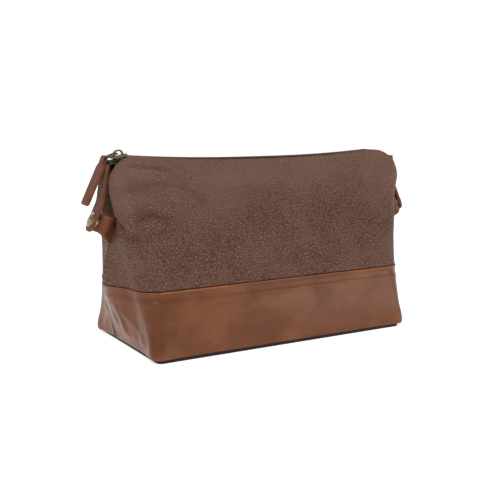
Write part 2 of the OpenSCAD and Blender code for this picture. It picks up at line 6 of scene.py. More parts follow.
import bmesh
import bpy
import numpy as np
from bpy.props import FloatProperty, FloatVectorProperty, PointerProperty
from bpy.types import Operator, Panel, PropertyGroup
from mathutils import Matrix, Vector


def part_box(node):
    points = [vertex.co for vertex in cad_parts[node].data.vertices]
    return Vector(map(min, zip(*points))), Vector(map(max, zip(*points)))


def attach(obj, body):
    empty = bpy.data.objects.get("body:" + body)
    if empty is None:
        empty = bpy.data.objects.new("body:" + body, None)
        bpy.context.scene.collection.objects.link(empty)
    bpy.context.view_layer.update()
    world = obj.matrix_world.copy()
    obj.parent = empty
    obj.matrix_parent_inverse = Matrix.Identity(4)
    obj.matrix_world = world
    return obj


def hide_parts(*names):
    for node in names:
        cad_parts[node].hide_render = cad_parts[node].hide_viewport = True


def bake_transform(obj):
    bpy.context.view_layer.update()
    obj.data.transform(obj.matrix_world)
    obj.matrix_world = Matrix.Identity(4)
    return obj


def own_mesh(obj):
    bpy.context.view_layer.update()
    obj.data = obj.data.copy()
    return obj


bl_info = {
    "name": "Shaving Kit Bag",
    "version": (1, 0, 0),
    "blender": (4, 5, 0),
    "location": "View3D > Sidebar > Kit Bag",
    "description": "Dresses the shaving kit bag in pebbled and smooth leather, with its zip, straps and stitching",
    "category": "Object",
}

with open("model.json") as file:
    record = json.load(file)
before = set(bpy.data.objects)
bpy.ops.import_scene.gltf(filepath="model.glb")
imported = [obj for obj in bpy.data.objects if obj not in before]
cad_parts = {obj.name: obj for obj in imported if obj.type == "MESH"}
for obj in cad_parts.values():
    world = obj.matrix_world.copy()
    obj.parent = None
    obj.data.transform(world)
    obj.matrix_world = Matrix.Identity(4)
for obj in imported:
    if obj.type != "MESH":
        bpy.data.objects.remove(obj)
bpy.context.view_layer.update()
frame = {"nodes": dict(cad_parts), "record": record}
JOINTS = {joint["name"]: joint for joint in frame["record"]["behaviour"]["joints"]}
MM = 0.001


# ---------------------------------------------------------------- sizes and colours


def length(name, description, default):
    return FloatProperty(name=name, description=description, default=default, unit="LENGTH", precision=4)


def colour(name, description, default):
    return FloatVectorProperty(
        name=name, description=description, default=default, subtype="COLOR", size=3, min=0, max=1
    )


class KitBagSizes(PropertyGroup):
    base_length: length("Base length", "Length of the base", 0.250)
    base_depth: length("Base depth", "Depth of the base", 0.128)
    height: length("Height", "Height of the leather edges beside the zip", 0.163)
    top_length: length("Top length", "Length near the top, over the folded corners", 0.305)
    lip_gap: length("Lip gap", "Distance between the outsides of the two edges at the zip", 0.0165)
    belly: length("Belly", "How far the front and back belly out", 0.0084)
    top_shift: length("Slump", "How far the closed top has slumped to the right", 0.008)
    top_corner: length("Top corner", "Radius of the rounded top corners", 0.028)
    end_bulge: length("End bulge", "How far each end bulges low down", 0.011)
    tuck: length("Tuck", "How far each end is tucked in by its strap", 0.019)
    seam_height: length("Seam height", "Height of the seam between band and upper panel", 0.056)
    leather: length("Leather", "Thickness of the body leather", 0.002)
    sag: length("Sag", "How far the middle of the zip sags", 0.0056)
    strap_width: length("Strap width", "Width of the end straps", 0.014)
    strap_layer: length("Strap layer", "Thickness of each layer of a strap", 0.0013)
    pull_width: length("Pull width", "Width of the leather pull", 0.014)
    pull_length: length("Pull length", "Length of the leather pull", 0.0419)
    tooth_pitch: length("Tooth pitch", "Distance between teeth on one tape", 0.0026)


class KitBagColours(PropertyGroup):
    pebbled: colour("Pebbled leather", "Raised grain of the upper panels", (0.148, 0.068, 0.044))
    pebble_valley: colour("Pebble valleys", "Creases between the pebbles", (0.040, 0.015, 0.009))
    tan: colour("Tan leather", "Smooth lower band", (0.180, 0.062, 0.026))
    tan_dark: colour("Tan mottling", "Darker clouds in the smooth band", (0.118, 0.037, 0.014))
    trim: colour("Trim leather", "Straps and pull", (0.158, 0.055, 0.034))
    trim_edge: colour("Trim edges", "Rubbed edges of straps and pull", (0.215, 0.076, 0.040))
    # painted shade: the base is near black so that its strip under the band also stands in for the contact shade there
    base: colour("Base leather", "Dark leather under the base", (0.030, 0.017, 0.015))
    brass: colour("Aged brass", "Slider, link and teeth", (0.150, 0.110, 0.055))
    snap: colour("Snap brass", "Caps of the snaps", (0.380, 0.275, 0.150))
    lining: colour("Lining", "Cotton lining", (0.045, 0.038, 0.032))
    tape: colour("Zip tape", "Woven tape of the zip", (0.012, 0.011, 0.011))
    thread: colour("Thread", "Stitching on straps, tabs and pull", (0.400, 0.200, 0.090))
    floor: colour("Floor", "Studio floor", (0.90, 0.90, 0.90))


# ---------------------------------------------------------------- materials


class Value:
    """A number that changes over a surface, as a node's output that can be used in sums."""

    def __init__(self, finish, socket):
        self.finish, self.socket = finish, socket

    def sum(self, operation, *terms):
        node = self.finish.node("ShaderNodeMath", {"operation": operation}, dict(enumerate(terms)))
        return Value(self.finish, node.outputs[0])

    def __add__(self, other):
        return self.sum("ADD", self, other)

    def __radd__(self, other):
        return self.sum("ADD", other, self)

    def __sub__(self, other):
        return self.sum("SUBTRACT", self, other)

    def __rsub__(self, other):
        return self.sum("SUBTRACT", other, self)

    def __mul__(self, other):
        return self.sum("MULTIPLY", self, other)

    def __rmul__(self, other):
        return self.sum("MULTIPLY", other, self)

    def __pow__(self, other):
        return self.sum("POWER", self, other)

    def span(self, low, high):
        """0 at low, 1 at high, smoothly between."""
        node = self.finish.node(
            "ShaderNodeMapRange",
            {"interpolation_type": "SMOOTHSTEP"},
            {"Value": self, "From Min": low, "From Max": high},
        )
        return Value(self.finish, node.outputs["Result"])


class Finish:
    """One material, made of nodes."""

    def __init__(self, name):
        self.material = bpy.data.materials.new(f"{name}_finish")
        self.material.use_nodes = True
        self.tree = self.material.node_tree
        self.tree.nodes.clear()
        self.place = self.node("ShaderNodeTexCoord").outputs["Object"]

    def node(self, kind, settings=None, sockets=None):
        node = self.tree.nodes.new(kind)
        for key, setting in (settings or {}).items():
            if key == "stops":
                ramp = node.color_ramp.elements
                while len(ramp) < len(setting):
                    ramp.new(0.5)
                for stop, (where, shade) in zip(ramp, setting):
                    stop.position, stop.color = where, (*shade, 1)
            else:
                setattr(node, key, setting)
        for key, value in (sockets or {}).items():
            value = value.socket if isinstance(value, Value) else value
            if isinstance(value, bpy.types.NodeSocket):
                self.tree.links.new(value, node.inputs[key])
            else:
                node.inputs[key].default_value = value
        return node

    def noise(self, scale, detail=3.0, roughness=0.5, place=None, distortion=0.0):
        node = self.node(
            "ShaderNodeTexNoise",
            None,
            {
                "Vector": place or self.place,
                "Scale": scale,
                "Detail": detail,
                "Roughness": roughness,
                "Distortion": distortion,
            },
        )
        return Value(self, node.outputs[0])

    def height(self):
        """Height above the floor."""
        return Value(self, self.node("ShaderNodeSeparateXYZ", None, {0: self.place}).outputs["Z"])

    def stretched(self, scale):
        """The place on the piece, scaled along each axis."""
        return self.node("ShaderNodeVectorMath", {"operation": "MULTIPLY"}, {0: self.place, 1: scale}).outputs[0]

    def wandering(self, scale, amount, stretch=(1, 1, 1)):
        """The place on the piece, stretched and pushed about by noise, so that cells aren't regular."""
        noise = self.node("ShaderNodeTexNoise", None, {"Vector": self.place, "Scale": scale, "Detail": 2.0})
        push = self.node(
            "ShaderNodeVectorMath", {"operation": "SCALE"}, {0: noise.outputs["Color"], "Scale": amount}
        )
        place = self.stretched(stretch)
        return self.node("ShaderNodeVectorMath", {"operation": "ADD"}, {0: place, 1: push.outputs[0]}).outputs[0]

    def cells(self, scale, place, feature="DISTANCE_TO_EDGE"):
        node = self.node("ShaderNodeTexVoronoi", {"feature": feature}, {"Vector": place, "Scale": scale})
        return Value(self, node.outputs["Distance"])

    def mixed(self, factor, first, second):
        node = self.node("ShaderNodeMix", {"data_type": "RGBA"})
        for socket, value in zip([node.inputs[0], node.inputs[6], node.inputs[7]], (factor, first, second)):
            value = value.socket if isinstance(value, Value) else value
            if isinstance(value, bpy.types.NodeSocket):
                self.tree.links.new(value, socket)
            else:
                socket.default_value = value if isinstance(value, float) else (*value, 1)
        return node.outputs[2]

    def surface(self, base, roughness, height=None, depth=0.0005, strength=1.0, **fixed):
        """The shader: base and roughness may be links, and fixed values are set on its own sockets."""
        sockets = {
            "Base Color": base if isinstance(base, bpy.types.NodeSocket) else (*base, 1),
            "Roughness": roughness,
        }
        if height is not None:
            bump = self.node("ShaderNodeBump", None, {"Height": height, "Distance": depth, "Strength": strength})
            sockets["Normal"] = bump.outputs[0]
        sockets.update({key.replace("_", " "): value for key, value in fixed.items()})
        shader = self.node("ShaderNodeBsdfPrincipled", None, sockets)
        self.node("ShaderNodeOutputMaterial", None, {"Surface": shader.outputs[0]})
        return self.material


def pebbled_leather(colours):
    skin = Finish("pebbled_leather")
    place = skin.wandering(110.0, 0.0042, (0.84, 0.84, 1.22))
    coarse = skin.cells(375.0, place).span(0.0, 0.29)
    fine = skin.cells(700.0, place).span(0.0, 0.30)
    # painted sheen: this height mask lightens the top of the upper panels, as light falling from above would; the same
    # mask also smooths the grain there
    top = skin.height().span(0.105, 0.160)
    smooth = skin.noise(15.0, 3.0).span(0.44, 0.68) * (0.30 + 0.45 * top)
    grain = coarse * (0.80 - 0.50 * smooth) + fine * (0.20 - 0.05 * smooth) + 0.55 * smooth
    pores = skin.noise(2600.0, 2.0)
    cloud = skin.noise(24.0, 4.0, 0.6).span(0.34, 0.70)
    tone = skin.mixed(grain.span(-0.15, 0.85), tuple(colours.pebble_valley), tuple(colours.pebbled))
    tone = skin.mixed(cloud * 0.30, tone, tuple(channel * 1.20 for channel in colours.pebbled))
    # painted sheen: up to 30 % of a pale greyish brown is mixed in near the top
    shade = skin.mixed(top * 0.30, tone, (0.215, 0.128, 0.098))
    return skin.surface(
        shade, 0.46 + 0.20 * (1.0 - grain), grain + 0.05 * pores, 0.00060, 0.80, Specular_IOR_Level=0.27
    )


def tan_leather(colours, name="tan_leather", rough=0.22):
    skin = Finish(name)
    cloud = skin.noise(30.0, 5.0, 0.62, skin.stretched((0.75, 1.0, 1.35)), 0.5)
    wax = skin.noise(110.0, 4.0, 0.6)
    creases = skin.cells(155.0, skin.wandering(40.0, 0.012)).span(0.0, 0.035)
    streak = skin.noise(62.0, 3.0, 0.5, skin.stretched((1.0, 1.0, 2.4)), 1.0)
    pores = skin.noise(2200.0, 2.0)
    tone = skin.mixed(cloud.span(0.30, 0.72), tuple(colours.tan_dark), tuple(colours.tan))
    tone = skin.mixed(streak.span(0.60, 0.76) * 0.30, tone, tuple(channel * 1.45 for channel in colours.tan))
    return skin.surface(
        tone,
        rough + 0.20 * wax,
        cloud * 0.9 + wax * 0.25 + creases * 0.05 + pores * 0.020,
        0.0016,
        0.34,
        Specular_IOR_Level=0.15,
        Coat_Weight=0.07,
        Coat_Roughness=0.10,
    )


def trim_leather(colours, name, shade, rough=0.42):
    skin = Finish(name)
    cloud = skin.noise(120.0, 4.0, 0.6)
    pores = skin.cells(1300.0, skin.wandering(300.0, 0.0012)).span(0.0, 0.22)
    tone = skin.mixed(cloud.span(0.30, 0.72), tuple(channel * 0.70 for channel in shade), tuple(shade))
    return skin.surface(
        tone, rough + 0.14 * cloud, pores * 0.5 + cloud * 0.6, 0.00022, 0.55, Specular_IOR_Level=0.08, Coat_Weight=0.02
    )


def cloth(name, shade, threads):
    weave = Finish(name)
    along = weave.node(
        "ShaderNodeTexWave", {"bands_direction": "X"}, {"Vector": weave.place, "Scale": threads, "Distortion": 0.3}
    )
    up = weave.node(
        "ShaderNodeTexWave", {"bands_direction": "Z"}, {"Vector": weave.place, "Scale": threads, "Distortion": 0.3}
    )
    height = Value(weave, along.outputs["Fac"]) + Value(weave, up.outputs["Fac"])
    fuzz = weave.noise(900.0, 2.0)
    tone = weave.mixed(height * 0.5, tuple(channel * 0.55 for channel in shade), tuple(shade))
    return weave.surface(
        tone, 0.82 + 0.12 * fuzz, height, 0.00015, 0.7, Specular_IOR_Level=0.2, Sheen_Weight=0.2, Sheen_Roughness=0.5
    )


def metal(name, shade, rough):
    brass = Finish(name)
    patina = brass.noise(420.0, 4.0, 0.6)
    scratch = brass.noise(900.0, 3.0, 0.5, brass.stretched((1.0, 1.0, 3.0)))
    tone = brass.mixed(patina.span(0.42, 0.68), tuple(shade), tuple(channel * 0.34 for channel in shade))
    return brass.surface(
        tone, rough + 0.25 * patina, patina * 0.7 + scratch * 0.5, 0.00010, 0.5, Metallic=0.95
    )


def pressed_board():
    board = Finish("board")
    fibre = board.noise(900.0, 5.0, 0.7, board.stretched((0.4, 1.0, 1.0)))
    tone = board.mixed(fibre.span(0.3, 0.7), (0.22, 0.20, 0.16), (0.34, 0.31, 0.26))
    return board.surface(tone, 0.85 + 0.1 * fibre, fibre, 0.0002, 0.4)


def thread_twist(shade):
    twist = Finish("thread")
    strands = twist.noise(2600.0, 2.0)
    tone = twist.mixed(strands.span(0.3, 0.7), tuple(channel * 0.6 for channel in shade), tuple(shade))
    return twist.surface(tone, 0.6 + 0.2 * strands, strands, 0.0001, 0.5)


def studio_floor(shade):
    floor = Finish("studio_floor")
    speck = floor.noise(3.0, 2.0)
    tone = floor.mixed(speck, tuple(shade), tuple(channel * 0.985 for channel in shade))
    return floor.surface(
        tone, 0.75 + 0.05 * speck, Specular_IOR_Level=0.1, Emission_Color=(1, 1, 1, 1), Emission_Strength=0.66
    )


MAKERS = {
    "pebbled_leather": lambda c: pebbled_leather(c),
    "tan_leather": lambda c: tan_leather(c),
    # painted shade: near-black leather for the base, also used for the pocket binding
    "base_leather": lambda c: trim_leather(c, "base_leather", c.base, 0.45),
    "trim_leather": lambda c: trim_leather(c, "trim_leather", c.trim),
    # painted highlight: the turned edge is 1.75 times paler than the band, standing in for light caught along the seam
    "turned_edge_highlight": lambda c: trim_leather(c, "turned_edge_highlight", tuple(1.75 * channel for channel in c.tan), 0.40),
    "trim_edge": lambda c: trim_leather(c, "trim_edge", c.trim_edge, 0.50),
    "lining": lambda c: cloth("lining", c.lining, 900.0),
    "zip_tape": lambda c: cloth("zip_tape", c.tape, 700.0),
    "zip_metal": lambda c: metal("zip_metal", c.brass, 0.24),
    "snap_metal": lambda c: metal("snap_metal", c.snap, 0.20),
    "board": lambda c: pressed_board(),
    "thread": lambda c: thread_twist(c.thread),
}


def material(name):
    """The finish of that name, made the first time it is wanted."""
    return bpy.data.materials.get(f"{name}_finish") or MAKERS[name](bpy.context.scene.kit_bag_colours)


# ---------------------------------------------------------------- mesh making


def piece(name, points, faces, finish, body="bag", replaces=(), extra=(), face_finish=None, sharp=50):
    """A new object from points in millimetres, riding on a body and standing for CAD nodes."""
    mesh = bpy.data.meshes.new(name)
    mesh.from_pydata((np.asarray(points, float) * MM).tolist(), [], [list(map(int, face)) for face in faces])
    mesh.validate()
    for one in (finish, *extra):
        mesh.materials.append(material(one))
    if face_finish is not None:
        mesh.polygons.foreach_set("material_index", np.asarray(face_finish, dtype=np.int32))
    work = bmesh.new()
    work.from_mesh(mesh)
    bmesh.ops.recalc_face_normals(work, faces=work.faces)
    work.to_mesh(mesh)
    work.free()
    mesh.shade_smooth()
    mesh.set_sharp_from_angle(angle=math.radians(sharp))
    thing = bpy.data.objects.new(name, mesh)
    bpy.context.scene.collection.objects.link(thing)
    if body:
        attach(thing, body)
    if replaces:
        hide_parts(*replaces)
    return thing


def grid_faces(rows, cols, start=0, flip=False):
    r, c = np.meshgrid(np.arange(rows - 1), np.arange(cols - 1), indexing="ij")
    a = (start + r * cols + c).ravel()
    quads = np.stack([a, a + 1, a + cols + 1, a + cols], 1)
    return quads[:, ::-1] if flip else quads


def closed_skin(outer, inner):
    """A closed skin from two grids of points of the same shape."""
    rows, cols = outer.shape[:2]
    count = rows * cols
    rim = np.concatenate(
        [
            np.arange(cols),
            np.arange(1, rows) * cols + cols - 1,
            (rows - 1) * cols + np.arange(cols - 2, -1, -1),
            np.arange(rows - 2, 0, -1) * cols,
        ]
    )
    after = np.roll(rim, -1)
    sides = np.stack([rim, rim + count, after + count, after], 1)
    faces = np.concatenate([grid_faces(rows, cols), grid_faces(rows, cols, count, True), sides])
    return np.concatenate([outer.reshape(-1, 3), inner.reshape(-1, 3)]), faces


def grid_normals(points):
    """Unit normals of a grid of points, by its rows and columns."""
    along = np.gradient(points, axis=1)
    up = np.gradient(points, axis=0)
    normals = np.cross(along, up)
    return normals / np.maximum(np.linalg.norm(normals, axis=2, keepdims=True), 1e-9)


def mix(low, high, t):
    return low + (high - low) * t


def ease(low, high, x):
    t = np.clip((x - low) / (high - low), 0, 1)
    return t * t * (3 - 2 * t)


def ridge(points, start, end, width, height, fade=0.25):
    """Height of a soft ridge, or a crease where it is negative, along a line between two places."""
    start, end = np.array(start, float), np.array(end, float)
    run = end - start
    t = np.clip(((points - start) @ run) / (run @ run), 0, 1)
    away = np.linalg.norm(points - (start + t[..., None] * run), axis=-1)
    taper = ease(-0.02, fade, t) * ease(-0.02, fade, 1 - t)
    return height * taper * np.exp(-((away / width) ** 2))


def puff(points, centre, reach, height):
    """Height of a soft dome, or a dent where it is negative."""
    away = np.linalg.norm((points - np.array(centre, float)) / np.array(reach, float), axis=-1)
    return height * np.exp(-(away**2))


def waves(points, seed, size, amount):
    """Slow hand-made unevenness: a few sine waves with set directions."""
    draw = np.random.default_rng(seed)
    total = 0
    for _ in range(5):
        way = draw.normal(size=3)
        way *= 2 * math.pi / (size * draw.uniform(0.7, 1.6)) / np.linalg.norm(way)
        total = total + np.sin(points @ way + draw.uniform(0, 6.28))
    return amount * total / 5


def strip(centres, across, normals, half_widths, thickness, profile):
    """A strap swept along a path. The profile is a list of (share of the half width, share of the half thickness)
    from edge to middle. Returns points, faces and which faces are the edges."""
    half = np.array([(-out, up) for out, up in profile] + [(out, up) for out, up in profile[-2::-1]])
    loop = np.concatenate([half, half[-2:0:-1] * (1, -1)]) if profile[0][1] == 0 else np.concatenate(
        [half, half[::-1] * (1, -1)]
    )
    widths = np.asarray(half_widths)[:, None, None]
    points = (
        centres[:, None]
        + across[:, None] * loop[None, :, 0, None] * widths
        + normals[:, None] * loop[None, :, 1, None] * thickness / 2
    )
    rows, cols = points.shape[:2]
    r, c = np.meshgrid(np.arange(rows - 1), np.arange(cols), indexing="ij")
    a, b = (r * cols + c).ravel(), (r * cols + (c + 1) % cols).ravel()
    faces = [tuple(quad) for quad in np.stack([a, b, b + cols, a + cols], 1)]
    near_edge = np.minimum(np.abs(loop[:, 0]), np.abs(np.roll(loop[:, 0], -1))) > 0.86
    edges = list(np.tile(near_edge, rows - 1).astype(int))
    faces += [tuple(range(cols)), tuple(range((rows - 1) * cols, rows * cols))]
    return points.reshape(-1, 3), faces, edges + [1, 1]


CREASED_EDGE = [(1.0, 0.0), (0.99, 0.55), (0.95, 0.92), (0.88, 1.02), (0.83, 1.0), (0.79, 0.80), (0.74, 0.80),
                (0.68, 0.97), (0.5, 1.0), (0.25, 1.02), (0.0, 1.03)]


def join(parts):
    """Several (points, faces) as one."""
    points, faces, start = [], [], 0
    for some, these in parts:
        points.append(some)
        faces += [tuple(np.asarray(face) + start) for face in these]
        start += len(some)
    return np.concatenate(points), faces


def stitch(centre, way, normal, long, thick):
    """One stitch: a short rounded length of thread lying in its hole at both ends."""
    side = np.cross(normal, way)
    rings, around = 7, 8
    points = []
    for i in range(rings):
        t = i / (rings - 1)
        bulge = math.sin(math.pi * min(max(t, 0.04), 0.96)) ** 0.45
        middle = centre + way * long * (t - 0.5) + normal * thick * 0.55 * (math.sin(math.pi * t) - 0.55)
        for k in range(around):
            turn = 2 * math.pi * k / around
            points.append(middle + thick / 2 * bulge * (side * math.cos(turn) + normal * 0.8 * math.sin(turn)))
    faces = [
        (r * around + k, r * around + (k + 1) % around, (r + 1) * around + (k + 1) % around, (r + 1) * around + k)
        for r in range(rings - 1)
        for k in range(around)
    ]
    faces += [tuple(range(around)), tuple(range((rings - 1) * around, rings * around))]
    return np.array(points), faces


def stitched(path, normals, pitch=2.7, long=2.0, thick=0.55):
    """Stitches along a path of points, each with the surface's normal."""
    path, normals = np.asarray(path, float), np.asarray(normals, float)
    run = np.concatenate([[0], np.cumsum(np.linalg.norm(np.diff(path, axis=0), axis=1))])
    parts = []
    for s in np.arange(pitch / 2, run[-1], pitch):
        centre = np.array([np.interp(s, run, path[:, k]) for k in range(3)])
        ahead = np.array([np.interp(min(s + 0.5, run[-1]), run, path[:, k]) for k in range(3)])
        behind = np.array([np.interp(max(s - 0.5, 0), run, path[:, k]) for k in range(3)])
        way = (ahead - behind) / max(np.linalg.norm(ahead - behind), 1e-9)
        normal = np.array([np.interp(s, run, normals[:, k]) for k in range(3)])
        normal -= way * (normal @ way)
        parts.append(stitch(centre, way, normal / np.linalg.norm(normal), long, thick))
    return join(parts)


# ---------------------------------------------------------------- the shape of the bag


class Shape:
    """The bag's shape in millimetres, at any height and place round it."""

    def __init__(self):
        s = bpy.context.scene.kit_bag_sizes
        for name in s.__annotations__:
            setattr(self, name, getattr(s, name) / MM)
        self.mouth_y = self.lip_gap / 2 - self.leather - 0.05
        self.zip_z = self.height - 1.4
        self.zip_run = self.top_length / 2 - self.top_corner
        self.base_thickness = 2.2

    def half_depth(self, z):
        t = z / self.height
        return mix(self.base_depth / 2, self.lip_gap / 2, t) + self.belly * 4 * t * (1 - t)

    def half_length(self, z):
        up = np.maximum(z - (self.height - self.top_corner), 0)
        drawn = self.top_corner - np.sqrt(np.maximum(self.top_corner**2 - up * up, 0))
        return mix(self.base_length / 2, self.top_length / 2, (z / self.height) ** 1.12) - drawn

    def end_out(self, z):
        def hump(low, high):
            inside = (z > low) & (z < high)
            return np.where(inside, np.sin(math.pi * (z - low) / (high - low)) ** 2, 0)

        return self.end_bulge * hump(0, 105) - self.tuck * hump(self.height - 68, self.height - 3)

    def slump(self, z):
        return self.top_shift * (z / self.height) ** 1.5

    def zip_sag(self, x):
        """How far the zip and the leather beside it hang below their ends."""
        u = np.abs((x - self.top_shift) / self.zip_run)
        return self.sag * np.clip(1 - u**2.4, 0, 1)

    def half(self, heights, front=True, inset=0.0, cols=(22, 12, 96)):
        """Points of the front or back half, one row for each height, from the left seam to the right."""
        end_cols, corner_cols, side_cols = cols
        z = np.asarray(heights, float)[:, None]
        a = self.half_length(z) - inset
        b = self.half_depth(z) - inset
        y0 = np.minimum(self.mouth_y * ease(self.height - 17, self.height - 11, z), b - 0.05)
        r = np.minimum(mix(6, 22, ease(0, 70, z)), (b - y0) / 2)
        foot = self.seam_drift(z) * (1 if front else -1)
        t = np.linspace(0, 1, end_cols, endpoint=False)[None]
        y = mix(-y0 + foot, -(b - r), t)
        v = np.clip((np.abs(y) - y0) / (b - r - y0), 0, 1)
        x = -(a + self.end_out(z) * (np.cos(math.pi * v) + 1) / 2)
        turn = (np.linspace(0, 1, corner_cols, endpoint=False) * math.pi / 2)[None]
        corner_x, corner_y = -(a - r + r * np.cos(turn)), -(b - r + r * np.sin(turn))
        side = np.linspace(-1, 1, side_cols + 1)[None]
        side_x, side_y = side * (a - r), -b + 0 * side
        left_x, left_y = np.concatenate([x, corner_x], 1), np.concatenate([y, corner_y], 1)
        xs = np.concatenate([left_x, side_x, -left_x[:, ::-1]], 1) + self.slump(z)
        ys = np.concatenate([left_y, side_y, left_y[:, ::-1]], 1)
        points = np.stack([xs, ys, np.broadcast_to(z, xs.shape)], 2)
        if not front:
            points[..., 1] *= -1
        hang = 1.0 if front else 0.72  # the back edge stands a little higher beside the zip
        points[..., 2] -= hang * self.zip_sag(points[..., 0]) * np.clip(z / self.height, 0, 1) ** 6
        return points

    def seam_drift(self, z):
        """How far the end seams have crept towards the back, low down."""
        return 24 * (1 - ease(0, 96, z)) ** 1.1

    def outside(self, heights, front):
        """The leather's outer face with its folds, and its outward normals."""
        points = self.half(heights, front)
        normals = grid_normals(points)
        if not front:
            normals = -normals
        return points + normals * self.folds(points, front)[..., None], normals

    def folds(self, points, front):
        """How far the leather stands out from its plain shape."""
        z = points[..., 2]
        seam = self.seam_height
        out = waves(points, 3 if front else 8, 95, 1.1) * ease(0, 30, z) * ease(0, 18, self.height - z)
        # the band's turned edge lies over the upper panel, with a soft ridge where it is turned under
        edge = np.exp(-(((z - seam + 0.9) / 1.6) ** 2))
        out = out + np.where(z <= seam, 0.75 * edge, 0.35 * np.exp(-(((z - seam) / 1.3) ** 2)))
        out = out + 0.40 * np.exp(-(((z - seam + 9.5) / 1.7) ** 2)) - 0.22 * np.exp(-(((z - seam + 6.2) / 1.8) ** 2))
        out = out - 1.1 * np.exp(-(((z - self.base_thickness) / 1.4) ** 2))
        edge = np.abs(points[..., 1] - self.seam_drift(z))
        on_end = (np.abs(points[..., 0] - self.slump(z)) > self.half_length(z) - 24) & (z < self.height - 17)
        out = out + np.where(on_end, -0.9 * np.exp(-((edge / 0.9) ** 2)) + 0.7 * np.exp(-(((edge - 3) / 1.9) ** 2)), 0)
        for fold in FRONT_FOLDS if front else BACK_FOLDS:
            out = out + (ridge if len(fold) == 4 else puff)(points, *fold)
        return out


# Each fold: from, to, width and height; or centre, reach and height
FRONT_FOLDS = [
    # the pleat that the left tab pulls, with a puff above it and below it
    ((-142, -10, 112), (-125, -38, 95), 3.4, -6.2),
    ((-140, -16, 119), (-116, -31, 118), 5.0, -4.6),
    ((-127, -34, 106), (-108, -33, 116), 4.6, 3.4),
    ((-125, -25, 131), (12.0, 11.0, 6.5), 4.4),
    ((-122, -38, 99), (-108, -40, 94), 5.0, 1.9),
    ((-121, -30, 121), (-92, -35, 116), 5.0, -3.2),
    # the ridge under the left lip
    ((-131, -12, 153), (-88, -17, 148), 2.2, 3.0),
    ((-128, -15, 145), (-86, -20, 140), 4.0, -1.9),
    ((-107, -15, 150), (-52, -34, 110), 7.0, 2.2),
    ((-60, -22, 138), (40, -24, 134), 7.0, -0.9),
    # the slack right side
    ((151, -13, 141), (10.0, 10.0, 15.0), 2.6),
    ((150, -14, 124), (118, -42, 92), 5.0, -2.2),
    ((140, -14, 148), (112, -36, 108), 8.0, 1.5),
    ((60, -30, 122), (112, -38, 112), 10.0, -1.2),
    # the low left corner: creases fanning from the widest place of the end
    ((-139, -8, 44), (-126, -14, 8), 1.8, 1.9),
    ((-137, -12, 40), (-126, -46, 9), 2.6, 1.7),
    ((-138, -3, 40), (-127, 6, 6), 1.8, -1.4),
    ((-133, -30, 40), (-127, -34, 12), 6.0, -1.1),
    ((138, -8, 44), (127, -48, 9), 3.4, 1.6),
    # the foot's corners stand out a little
    ((-126, -62, 6), (18, 16, 13), 3.0),
    ((126, -62, 6), (18, 16, 13), 3.4),
]
BACK_FOLDS = [
    ((-142, 10, 112), (-126, 36, 97), 2.6, -4.4),
    ((-124, 26, 128), (10.0, 10.0, 6.0), 2.4),
    ((-131, 12, 153), (-90, 18, 146), 3.0, 1.6),
    ((150, 14, 110), (116, 40, 96), 3.4, -3.4),
    ((-40, 40, 130), (40, 52, 84), 14.0, 1.6),
    ((60, 28, 136), (100, 44, 92), 9.0, -1.3),
    ((-138, 10, 42), (-126, 48, 8), 3.0, 1.5),
    ((138, 10, 42), (128, 48, 8), 3.0, 1.5),
    ((-126, 62, 6), (18, 18, 14), 4.0),
    ((126, 62, 6), (18, 16, 13), 3.0),
]


def rows_between(low, high, step, fine=()):
    """Heights from low to high, with more of them near the fine ones."""
    plain = np.linspace(low, high, int(round((high - low) / step)) + 1)
    more = [np.linspace(place - 3, place + 3, 11) for place in fine]
    rows = np.unique(np.round(np.concatenate([plain, *more]), 3))
    rows = rows[(rows >= low) & (rows <= high)]
    return rows[np.concatenate([[True], np.diff(rows) > 0.3])]


# ---------------------------------------------------------------- hardware places


def mirrored(points, side, middle):
    """Left-hand points as they are, or swapped to the right end."""
    points = np.array(points, float)
    if side == "right":
        points[..., 0] = 2 * middle - points[..., 0]
    return points


def flipped(way, side):
    way = np.array(way, float)
    if side == "right":
        way[..., 0] *= -1
    return way


def bend_point(shape, side):
    return np.array(JOINTS["left_snap_strap"]["pos_m"], float) / MM


def lean(angle):
    """Down along a strap at that slope from upright, and outwards from it, at the left end."""
    turn = math.radians(angle)
    return np.array([-math.sin(turn), 0, -math.cos(turn)]), np.array([-math.cos(turn), 0, math.sin(turn)])


UPPER_LEAN, UPPER_LONG, END_LEAN, END_LONG, SNAP_AT = 9.7, 31.0, 25.0, 26.5, 16.5


def strap_path(shape):
    """The left strap's middle line from its sewn top to its tip, with its outward normals."""
    bend = bend_point(shape, "left")
    down_a, out_a = lean(UPPER_LEAN)
    down_b, out_b = lean(END_LEAN)
    points, normals, runs = [], [], []
    for s in np.concatenate([np.linspace(-UPPER_LONG, -5, 14), np.linspace(-4, 4, 9), np.linspace(5, END_LONG, 22)]):
        w = ease(-5, 5, s)
        spread = 5 * (w - 0.5) if abs(s) < 5 else s
        base = bend + (down_a * s if s < 0 else down_b * s)
        normal = mix(out_a, out_b, w)
        points.append(base - normal / np.linalg.norm(normal) * 0)
        normals.append(normal / np.linalg.norm(normal))
        runs.append(s)
    points = np.array(points)
    smooth = points.copy()
    smooth[15:22] = (points[14:21] + points[15:22] + points[16:23]) / 3
    return smooth, np.array(normals), np.array(runs)


def strap_widths(runs, half):
    """Half widths of the strap, with a round tip."""
    past = np.clip(runs - (END_LONG - half), 0, half)
    return np.maximum(np.sqrt(np.maximum(half**2 - past**2, 0)), 0.4)


# ---------------------------------------------------------------- operators


class KitBagOperator:
    bl_options = {"REGISTER", "UNDO"}


